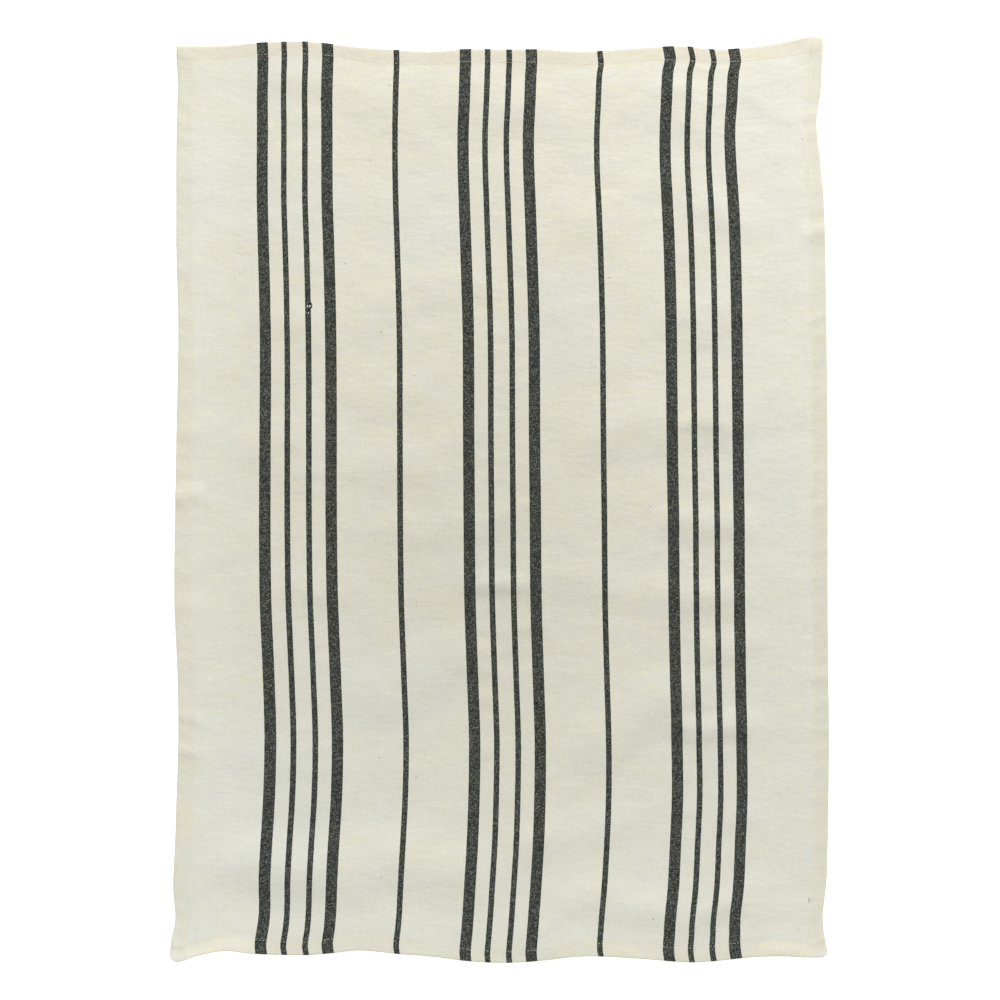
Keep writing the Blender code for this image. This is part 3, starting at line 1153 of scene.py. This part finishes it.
@dataclass(frozen=True)
class StripedWeave:
    """The washed plain weave: cream threads both ways and charcoal ones in the stripes.

    Lengths are in millimetres. A hollow is how light a colour is between the threads, where
    shade is painted in, and a crown is what their tops add to that. Slubs and bars make
    single threads lighter or darker, less so where the other thread lies on top. Flecks are
    the crossings where a charcoal thread is paler, or where cream shows through it. The
    cream is a little greyer between the stripes of a group. The colour of the hems blends in
    from just outside the row of stitches to just inside the fold, and a pair of its numbers
    is a level and what the patches of the hem add to it.
    """

    cloth: ClothLay
    stripes: StripePlan = StripePlan()
    weft_pitch: float = 0.60
    warp_wander: Cloud = Cloud(4.0, 2.5, 1.5, 0.07)
    weft_wander: Cloud = Cloud(6.0, 3.0, 2.5, 0.07)
    mean_height: float = 0.55
    rise_and_fall: float = 0.9
    crossing_blend: float = 0.10
    weft_slubs: Cloud = Cloud(2.2, 1 / 7.3, 3.5, 0.050)
    weft_bars: Cloud = Cloud(11.0, 1 / 5.1, 4.5, 0.018)
    warp_slubs: Cloud = Cloud(1 / 6.7, 9.0, 5.5, 0.032)
    tone_hidden: float = 0.6
    cool_cream: Colour = (0.637, 0.632, 0.560, 1.0)
    warm_cream: Colour = (0.663, 0.635, 0.498, 1.0)
    rosy_cream: Colour = (0.653, 0.608, 0.492, 1.0)
    cream_hollow: float = 0.965
    cream_crown: float = 0.045
    field_warmth: float = 0.35
    warm_clouds: tuple[Cloud, ...] = (
        Cloud(26.0, 21.0, 6.5, 0.26, 3.0),
        Cloud(9.0, 6.0, 7.5, 0.21, 2.0),
    )
    warm_wefts: Cloud = Cloud(3.0, 1 / 9.1, 13.5, 0.37)
    patch_core: float = 0.1
    group_shade: float = 0.018
    hem_blend: tuple[float, float] = (1.5, 3.0)
    hem_patches: Cloud = Cloud(16.0, 16.0, 14.5, 1.0)
    hem_raggedness: float = 0.8
    hem_warmth: tuple[float, float] = (0.44, 0.21)
    hem_shade: float = 0.03
    top_rosiness: tuple[float, float] = (0.55, 0.25)
    bottom_hem_painted_light: float = 0.03
    cool_charcoal: Colour = (0.022, 0.032, 0.030, 1.0)
    warm_charcoal: Colour = (0.035, 0.0305, 0.0235, 1.0)
    charcoal_hollow: float = 0.42
    charcoal_crown: float = 0.44
    charcoal_fleck: float = 2.0
    charcoal_tone: float = 2.0
    cream_fleck: float = 0.40
    warp_hues: Cloud = Cloud(1 / 5.7, 6.0, 10.5, 0.4)
    spot_hues: Cloud = Cloud(1.6, 1.6, 15.5, 0.4)
    warp_shades: Cloud = Cloud(1 / 4.3, 3.2, 11.5, 0.16)
    blotches: Cloud = Cloud(3.0, 3.0, 12.5, 0.14, 2.0)
    thread_height: float = 0.07
    tone_height: float = 0.5
    swells: tuple[Cloud, ...] = (Cloud(5.5, 3.0, 8.5, 0.032, 2.0), Cloud(17.0, 8.0, 9.5, 0.09))
    roughness: float = 0.90

    def build(self) -> bpy.types.Material:
        """Make the material, which reads the cloth's WEAVE_MAP.

        A thread's height is the cosine across it, more of it where the thread lies over the
        other one and less where it lies under, and the higher of the two shows. Every
        crossing has a chance of its own: the flecks of the charcoal grow as its square, and
        those of the cream as its fourth power.

        Returns:
            The material.
        """
        graph = Graph("striped_weave")
        across, along = (place / MM for place in graph.place_on_map(WEAVE_MAP))
        warp_at = across + graph.cloud(self.warp_wander, across, along)
        warp_at = (warp_at - self.stripes.first_thread) / self.stripes.pitch
        weft_at = (along + graph.cloud(self.weft_wander, across, along)) / self.weft_pitch
        warp, weft = warp_at.floor(), weft_at.floor()
        warp_crown = ((warp_at - warp - 0.5) * math.pi).cosine()
        weft_crown = ((weft_at - weft - 0.5) * math.pi).cosine()
        over = ((warp + weft) % 2.0 - 0.5) * self.rise_and_fall
        warp_high = warp_crown * (self.mean_height + over * weft_crown)
        weft_high = weft_crown * (self.mean_height - over * warp_crown)
        warp_shows = (warp_high - weft_high).rising(-self.crossing_blend, self.crossing_blend)
        crown = warp_high.most(weft_high)

        weft_tone = graph.cloud(self.weft_slubs, across, weft)
        weft_tone = weft_tone + graph.cloud(self.weft_bars, across, weft)
        weft_tone = weft_tone * (1.0 - warp_shows * self.tone_hidden)
        warp_tone = graph.cloud(self.warp_slubs, warp, along)
        warp_tone = warp_tone * (1.0 - (1.0 - warp_shows) * self.tone_hidden)
        tone = weft_tone + warp_tone
        cell = graph.chance(warp, weft)

        greyed = (self.from_group(warp) < self.stripes.wide[1]) * self.group_shade
        # Painted shade: the cream and the charcoal are darker in the hollows between the threads
        # than on their crowns.
        light = self.cream_hollow + crown * self.cream_crown + tone - greyed
        cream = graph.scaled(self.cream(graph, across, along, weft), light)
        fleck = self.charcoal_crown + cell.power(2.0) * self.charcoal_fleck
        light = self.charcoal_hollow + crown * fleck + tone * self.charcoal_tone
        charcoal = graph.scaled(self.charcoal(graph, across, along, warp), light)
        speck = (1.0 - warp_shows) * cell.power(4.0) * self.cream_fleck
        dark = self.dark_threads(warp) * (1.0 - speck)
        colour = graph.mix(dark, cream, charcoal)

        soft = sum(graph.cloud(swell, across, along) for swell in self.swells)
        height = crown * self.thread_height + tone * self.tone_height + soft
        roughness = self.roughness + tone
        steady = {
            "Sheen Weight": 0.04,
            "Sheen Roughness": 0.55,
            "Sheen Tint": (1.0, 0.98, 0.92, 1.0),
            "Specular IOR Level": 0.15,
        }
        return graph.finish(colour, roughness, height, steady)

    def from_group(self, warp: Wire) -> Wire:
        """Return how many threads a warp thread lies from the middle of the nearest group."""
        half = self.stripes.repeat / 2.0
        return abs((warp + (0.5 - self.stripes.middle_group + half)) % self.stripes.repeat - half)

    def dark_threads(self, warp: Wire) -> Wire:
        """Return 1 on the warp threads that are charcoal.

        Args:
            warp: The number of each warp thread from the left side.

        Returns:
            1 in the stripes and 0 elsewhere.
        """
        plan = self.stripes
        apart = self.from_group(warp)
        wide = (apart > plan.wide[0]) * (apart < plan.wide[1])
        thin = (apart > plan.thin[0]) * (apart < plan.thin[1])
        lone = apart > plan.repeat / 2.0 - plan.lone_reach
        inner = abs(warp + (0.5 - plan.middle_group)) < plan.repeat
        return wide + thin + lone * inner

    def cream(self, graph: Graph, across: Wire, along: Wire, weft: Wire) -> Wire:
        """Return the cream of the undyed threads.

        It is a mix of a cool and a warm cream. The hems are warmer, because their three
        layers let less of the white table shine through, and the top one is rosier.
        Soft clouds, thread by thread unevenness and CREAM_PATCHES lie over it all. The bottom hem
        is lightened by painted light, and the patches paint light and shade into the cream.

        Args:
            graph: The material's graph.
            across: Places from the left side.
            along: Places from the bottom end.
            weft: The number of each weft thread.

        Returns:
            The colour.
        """
        cloth = self.cloth
        inner, outer = cloth.hem.row - self.hem_blend[0], cloth.hem.fold + self.hem_blend[1]
        patchy = graph.cloud(self.hem_patches, across, along)
        ragged = patchy * self.hem_raggedness
        to_side = across.least(cloth.width - across) + ragged
        to_bottom = along + ragged
        to_top = cloth.length - along + ragged
        hem = 1.0 - to_side.least(to_bottom).least(to_top).rising(inner, outer)
        top = 1.0 - to_top.rising(inner, outer)
        bottom = 1.0 - to_bottom.rising(inner, outer)
        warmth = sum(graph.cloud(cloud, across, along) for cloud in self.warm_clouds)
        warmth = warmth + graph.cloud(self.warm_wefts, across, weft) + self.field_warmth
        warmth = warmth + hem * (self.hem_warmth[0] + patchy * self.hem_warmth[1])
        # The hems are made a little darker, and the bottom hem is lightened as painted light.
        light = 1.0 - hem * self.hem_shade + bottom * self.bottom_hem_painted_light
        # Painted light and shade: each patch lightens or darkens the cream.
        for patch in CREAM_PATCHES:
            right = (across - patch.from_left) / (patch.width / 2.0)
            up = (along - patch.from_bottom) / (patch.length / 2.0)
            inside = 1.0 - (right * right + up * up).rising(self.patch_core, 1.0)
            warmth = warmth + inside * patch.warmth
            light = light + inside * patch.painted_light
        colour = graph.mix(warmth, self.cool_cream, self.warm_cream)
        rosy = top * (self.top_rosiness[0] + patchy * self.top_rosiness[1])
        return graph.scaled(graph.mix(rosy, colour, self.rosy_cream), light)

    def charcoal(self, graph: Graph, across: Wire, along: Wire, warp: Wire) -> Wire:
        """Return the charcoal of the dyed warp, heathered thread by thread.

        Args:
            graph: The material's graph.
            across: Places from the left side.
            along: Places from the bottom end.
            warp: The number of each warp thread.

        Returns:
            The colour.
        """
        hue = graph.cloud(self.warp_hues, warp, along) + 0.5
        hue = hue + graph.cloud(self.spot_hues, across, along)
        thread = graph.cloud(self.warp_shades, warp, along)
        blotch = graph.cloud(self.blotches, across, along)
        colour = graph.mix(hue, self.cool_charcoal, self.warm_charcoal)
        return graph.scaled(colour, 1.0 + thread + blotch)


@dataclass(frozen=True)
class SpunYarn:
    """A twisted yarn or a loose fibre, seen on its own, in millimetres.

    The plies wind round it once in the length of the twist. They and the fibres in them set
    its tone and its bump: the deep colour in the grooves between the plies is painted shade,
    and the fibres' share of it is their own uneven tone.
    """

    name: str
    light: Colour
    deep: Colour
    twist: float = 1.1
    plies: float = 2.0
    fibres: Cloud = Cloud(1.7, 0.5, 3.5, 1.0, 2.0)
    ply_painted_shade: float = 0.3
    fibre_tone: float = 0.25
    ply_height: float = 0.03
    fibre_height: float = 0.01
    roughness: float = 0.85
    fibre_roughness: float = 0.03

    def build(self) -> bpy.types.Material:
        """Make the material, which reads the strand's YARN_MAP."""
        graph = Graph(self.name)
        run, turn = graph.place_on_map(YARN_MAP)
        ply = ((run / (MM * self.twist) + turn) * (2.0 * math.pi * self.plies)).cosine()
        uneven = graph.cloud(self.fibres, run / MM, turn)
        # Painted shade: the deep colour lies in the grooves between the plies.
        share = 0.5 + ply * self.ply_painted_shade + uneven * self.fibre_tone
        colour = graph.mix(share, self.deep, self.light)
        height = ply * self.ply_height + uneven * self.fibre_height
        roughness = self.roughness + uneven * self.fibre_roughness
        steady = {"Sheen Weight": 0.05, "Specular IOR Level": 0.15}
        return graph.finish(colour, roughness, height, steady)


@dataclass(frozen=True)
class PaleTable:
    """The white table top that the towel lies on, lit from below, in metres."""

    colour: Colour = (0.94, 0.94, 0.93, 1.0)
    grain: Colour = (0.92, 0.92, 0.92, 1.0)
    glow: float = 0.35
    grain_cloud: Cloud = Cloud(1 / 60, 1 / 60, 0.5, 1.0, 2.0)
    grain_height: float = 0.01
    roughness: float = 0.6
    grain_roughness: float = 0.05

    def build(self) -> bpy.types.Material:
        """Make the material, an even white with a barely uneven surface."""
        graph = Graph("pale_table")
        place = graph.node("ShaderNodeTexCoord", {}, {}, "Object")
        x, y = (graph.node("ShaderNodeSeparateXYZ", {}, {"Vector": place}, axis) for axis in "XY")
        uneven = graph.cloud(self.grain_cloud, x, y)
        colour = graph.mix(0.5 + uneven * 0.5, self.colour, self.grain)
        roughness = self.roughness + uneven * self.grain_roughness
        steady = {"Emission Color": WHITE, "Emission Strength": self.glow}
        return graph.finish(colour, roughness, uneven * self.grain_height, steady)


@dataclass
class TowelCloth:
    """The cloth with its hems: one closed sheet with an upper face and an underside.

    The corners and the shares are where the two faces lie on PICTURE_MAP and how much of
    its height each one takes up.
    """

    lay: ClothLay
    spacing: float = 3.1
    rim_steps: int = 4
    hem_lines: tuple[float, ...] = (
        2.6, 4.6, 6.6, 8.2, 9.2, 9.8, 10.4, 11.1, 12.3, 12.8, 14.0, 15.6, 17.8,
    )
    upper_corner: tuple[float, float] = (0.005, 0.01)
    upper_share: float = 0.98
    under_corner: tuple[float, float] = (0.718, 0.01)
    under_share: float = 0.385

    def lines(self, size: float) -> Array:
        """Return the grid lines from one edge to the other.

        Round the rim their depths are those of equal turns of a quarter circle, the hem
        has lines of its own, and the field's are even.

        Args:
            size: The distance from edge to edge.

        Returns:
            The lines' places.
        """
        radius = self.lay.hem.thickness / 2.0
        turns = np.linspace(0.0, np.pi / 2.0, self.rim_steps + 1)
        near = np.concatenate((radius * (1.0 - np.cos(turns)), self.hem_lines))
        steps = round((size - 2.0 * near[-1]) / self.spacing)
        field_lines = np.linspace(near[-1], size - near[-1], steps + 1)[1:-1]
        return np.concatenate((near, field_lines, (size - near)[::-1]))

    def picture_place(self, face: Face, across: Array, along: Array) -> Array:
        """Return where a place lies on the map that holds both faces side by side."""
        corner, share = {
            Face.UPPER: (self.upper_corner, self.upper_share),
            Face.UNDER: (self.under_corner, self.under_share),
        }[face]
        scale = share / self.lay.length
        return np.stack((corner[0] + across * scale, corner[1] + along * scale), axis=-1)

    def build(self) -> bpy.types.Object:
        """Build the cloth from two grids that share the points of the rim."""
        lines_across = self.lines(self.lay.width)
        lines_along = self.lines(self.lay.length)
        across, along = np.meshgrid(lines_across, lines_along)
        rows, columns = across.shape
        number = np.arange(rows * columns).reshape(rows, columns)
        inside = np.zeros((rows, columns), dtype=bool)
        inside[1:-1, 1:-1] = True
        under_number = number.copy()
        under_number[inside] = rows * columns + np.arange(inside.sum())
        upper = self.lay.points(Face.UPPER, across, along)
        under = self.lay.points(Face.UNDER, across, along)
        points = np.concatenate((upper.reshape(-1, 3), under[inside]))

        def corners_of(grid: Array) -> Array:
            """Return the four corners of each cell, anticlockwise from above."""
            return np.stack((grid[:-1, :-1], grid[:-1, 1:], grid[1:, 1:], grid[1:, :-1]), axis=2)

        upper_faces = corners_of(number).reshape(-1, 4)
        under_faces = corners_of(under_number).reshape(-1, 4)[:, ::-1]
        cell_across = corners_of(across).reshape(-1, 4)
        cell_along = corners_of(along).reshape(-1, 4)
        weave = np.stack((cell_across, cell_along), axis=-1) * MM
        pictures = (
            self.picture_place(Face.UPPER, cell_across, cell_along),
            self.picture_place(Face.UNDER, cell_across, cell_along)[:, ::-1],
        )
        cloth = make_object(
            "towel_cloth",
            points,
            (upper_faces, under_faces),
            {WEAVE_MAP: (weave, weave[:, ::-1]), PICTURE_MAP: pictures},
        )
        cloth.data.materials.append(StripedWeave(self.lay).build())
        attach(cloth, ROOT)
        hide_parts(CLOTH_NODE)
        return cloth


@dataclass
class HemStitching:
    """The rows of plain machine stitches that hold the four hems, on both faces.

    Lengths are in millimetres. The spans are the parts of the width and of the length
    between which the rows of the ends and of the sides are sewn.
    """

    lay: ClothLay
    end_span: tuple[float, float] = (0.004, 0.997)
    side_span: tuple[float, float] = (0.003, 0.998)
    pitch: float = 2.6
    share_shown: float = 0.76
    radius: float = 0.14
    taper: float = 0.35
    arch: float = 0.03
    sunk: float = 0.30
    slant: float = 0.12
    unevenness: float = 0.08
    stations: int = 6
    sides: int = 5
    seed: int = 3
    thread: SpunYarn = SpunYarn(
        "sewing_thread", light=(0.74, 0.72, 0.64, 1.0), deep=(0.64, 0.62, 0.55, 1.0), twist=0.5
    )

    def rows(self) -> tuple[Array, Array, Array, Array]:
        """Return the middle of each stitch and the way in which its row runs.

        Returns:
            The places across and along, and the two parts of the direction.
        """
        width, length = self.lay.width, self.lay.length
        across = np.arange(width * self.end_span[0], width * self.end_span[1], self.pitch)
        along = np.arange(length * self.side_span[0], length * self.side_span[1], self.pitch)
        top = length - self.lay.row_depth(across, np.ones_like(across))
        bottom = self.lay.row_depth(across, np.zeros_like(across))
        left = np.full_like(along, self.lay.hem.side_row)
        right = width - left
        ends = np.ones(2 * len(across)), np.zeros(2 * len(across))
        sides = np.zeros(2 * len(along)), np.ones(2 * len(along))
        return (
            np.concatenate((across, across, left, right)),
            np.concatenate((top, bottom, along, along)),
            np.concatenate((ends[0], sides[0])),
            np.concatenate((ends[1], sides[1])),
        )

    def build(self, face: Face) -> bpy.types.Object:
        """Build the stitches of one face.

        A stitch runs straight from hole to hole with a slight slant. Its height is the arch
        at its middle and falls to below the cloth as the fourth power of the way out.

        Args:
            face: The face that they lie on.

        Returns:
            All of its stitches as one object.
        """
        across, along, right, up = self.rows()
        draw = np.random.default_rng(self.seed + (face is Face.UNDER))
        half = self.pitch * self.share_shown / 2.0
        out = np.linspace(-1.0, 1.0, self.stations)
        off_row = draw.normal(0.0, self.unevenness, len(across))[:, None] + self.slant * out
        ahead = half * out + draw.normal(0.0, self.unevenness, len(across))[:, None]
        place_across = across[:, None] + right[:, None] * ahead + up[:, None] * off_row
        place_along = along[:, None] + up[:, None] * ahead + right[:, None] * off_row
        place_across, place_along = self.lay.kept_in(place_across, place_along)
        proud = self.arch - (self.arch + self.sunk) * out**4
        outwards = 1.0 if face is Face.UPPER else -1.0
        paths = self.lay.points(face, place_across, place_along, proud * outwards)
        radii = self.radius * (1.0 - self.taper * out**2) * np.ones((len(across), 1))
        stitches = sew(f"hem_stitches_{face.value}", paths, radii, self.sides)
        stitches.data.materials.append(self.thread.build())
        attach(stitches, ROOT)
        return stitches


@dataclass
class StrayThreads:
    """The small loose things on the face: a knot, pulled threads, neps and lint.

    The rise is how far the middle of a stray stands above the face, and the dip is how far
    its ends bend down from there, both counted in its radii.
    """

    lay: ClothLay
    lint_count: int = 90
    lint_length: tuple[float, float] = (2.0, 5.5)
    lint_radius: float = 0.06
    lint_margin: float = 2.0
    lint_bend: float = 90.0
    rise: float = 0.6
    dip: float = 1.5
    taper: float = 0.4
    deepest: float = 0.45
    seed: int = 5
    stations: int = 12
    sides: int = 5

    def lint(self) -> list[Stray]:
        """Return short pale fibres strewn over the face."""
        draw = np.random.default_rng(self.seed)
        margin = self.lint_margin
        across = draw.uniform(margin, self.lay.width - margin, self.lint_count)
        along = draw.uniform(margin, self.lay.length - margin, self.lint_count)
        lengths = draw.uniform(*self.lint_length, self.lint_count)
        turns = draw.uniform(0.0, HALF_TURN, self.lint_count)
        bends = draw.normal(0.0, self.lint_bend, self.lint_count)
        return [
            Stray("lint", *row, self.lint_radius, Tone.PALE)
            for row in zip(across, along, lengths, turns, bends)
        ]

    def build(self, tone: Tone) -> bpy.types.Object:
        """Build the strays of one colour.

        Each one is an arc of its length that turns evenly by its bend. It stands on the
        face, and its ends dip into it as the fourth power of the way out, but not so deep
        that they come out at the back.

        Args:
            tone: The colour.

        Returns:
            All of them as one object.
        """
        rows = [row for row in (*STRAYS, *self.lint()) if row.tone is tone]
        out = np.linspace(-1.0, 1.0, self.stations)
        places = {name: column(rows, name)[:, None] for name in Stray._fields[1:-1]}
        heading = np.radians(places["turn"] + places["bend"] * out / 2.0)
        step = places["length"] / (self.stations - 1)
        right = np.cumsum(np.cos(heading) * step, axis=1)
        up = np.cumsum(np.sin(heading) * step, axis=1)
        across = places["from_left"] + right - right.mean(axis=1, keepdims=True)
        along = places["from_bottom"] + up - up.mean(axis=1, keepdims=True)
        across, along = self.lay.kept_in(across, along)
        radii = places["radius"] * (1.0 - self.taper * out**2)
        bent = places["radius"] * (self.rise - self.dip * out**4)
        proud = np.maximum(bent, radii - self.deepest)
        paths = self.lay.points(Face.UPPER, across, along, proud)
        colour = tone.name.lower()
        strays = sew(f"strays_{colour}", paths, radii, self.sides)
        strays.data.materials.append(SpunYarn(f"{colour}_yarn", *tone.value).build())
        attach(strays, ROOT)
        return strays


class Softbox(NamedTuple):
    """A soft rectangular light: places in metres, power in watts."""

    name: str
    place: tuple[float, float, float]
    aim: tuple[float, float, float]
    width: float
    depth: float
    watts: float
    tint: tuple[float, float, float]


SOFTBOXES = (
    Softbox("top_light", (0.35, 1.44, 0.70), (0.03, 0.0, 0.0), 1.2, 0.6, 32.1, WARM_WHITE),
    Softbox("left_bar", (-0.42, -0.05, 0.30), (-0.36, -0.05, 0.0), 0.9, 0.08, 0.77, COOL_WHITE),
    Softbox("right_bar", (0.42, -0.05, 0.30), (0.36, -0.05, 0.0), 0.9, 0.08, 0.57, COOL_WHITE),
    Softbox("bottom_bar", (0.0, -0.42, 0.30), (0.0, -0.37, 0.0), 0.6, 0.08, 0.49, COOL_WHITE),
)


@dataclass
class Studio:
    """The table, the lights and the camera straight above the towel.

    Lengths are in metres, but those of the lens, the sensor and the camera's shift to the
    side are in millimetres.
    """

    lay: ClothLay
    frame_width: float = 0.770
    lens: float = 100.0
    sensor: float = 36.0
    table_width: float = 6.0
    table_top: float = -0.0003
    camera_shift: float = -0.385
    surround: float = 0.41

    def build(self) -> None:
        """Set up the table, the lights, the surround and the camera."""
        self.table()
        for softbox in SOFTBOXES:
            self.light(softbox)
        self.world()
        self.camera()

    def table(self) -> None:
        """Lay the table top just under the towel."""
        half = self.table_width / 2.0 / MM
        rows = np.array(((-half, -half), (half, -half), (half, half), (-half, half)))
        points = np.column_stack((rows, np.full(4, self.table_top / MM)))
        table = make_object("table_top", points, (np.array([[0, 1, 2, 3]]),), {})
        table.data.materials.append(PaleTable().build())

    def light(self, softbox: Softbox) -> None:
        """Hang one softbox, turned to its aim and out of the camera's sight."""
        data = bpy.data.lights.new(softbox.name, "AREA")
        data.shape = "RECTANGLE"
        data.size = softbox.width
        data.size_y = softbox.depth
        data.energy = softbox.watts
        data.color = softbox.tint
        lamp = bpy.data.objects.new(softbox.name, data)
        lamp.location = softbox.place
        ahead = Vector(softbox.aim) - Vector(softbox.place)
        lamp.rotation_euler = ahead.to_track_quat("-Z", "Y").to_euler()
        lamp.visible_camera = False
        bpy.context.scene.collection.objects.link(lamp)

    def world(self) -> None:
        """Surround the table with an even pale grey."""
        world = bpy.data.worlds.new("surround")
        world.use_nodes = True
        background = world.node_tree.nodes["Background"]
        background.inputs["Color"].default_value = WHITE
        background.inputs["Strength"].default_value = self.surround
        bpy.context.scene.world = world
        bpy.context.scene.view_settings.view_transform = "Standard"

    def camera(self) -> None:
        """Hang the camera above the middle of the frame, with the top end at the top."""
        data = bpy.data.cameras.new("camera")
        data.lens = self.lens
        data.sensor_width = self.sensor
        camera = bpy.data.objects.new("camera", data)
        middle_x, middle_y = self.lay.middle()
        above = self.frame_width * self.lens / self.sensor + self.lay.hem.thickness / 2.0 * MM
        camera.location = ((self.camera_shift - middle_x) * MM, -middle_y * MM, above)
        bpy.context.scene.collection.objects.link(camera)
        bpy.context.scene.camera = camera


def main() -> None:
    """Build the studio and the towel, and report each piece."""
    logging.basicConfig(level=logging.INFO, format="%(name)s: %(message)s")
    lay = ClothLay()
    Studio(lay).build()
    cloth = TowelCloth(lay).build()
    stitching = HemStitching(lay)
    strays = StrayThreads(lay)
    threads = [stitching.build(face) for face in Face] + [strays.build(tone) for tone in Tone]
    for piece in (cloth, *threads):
        log.info("%s: %d faces", piece.name, len(piece.data.polygons))


if __name__ == "__main__":
    main()
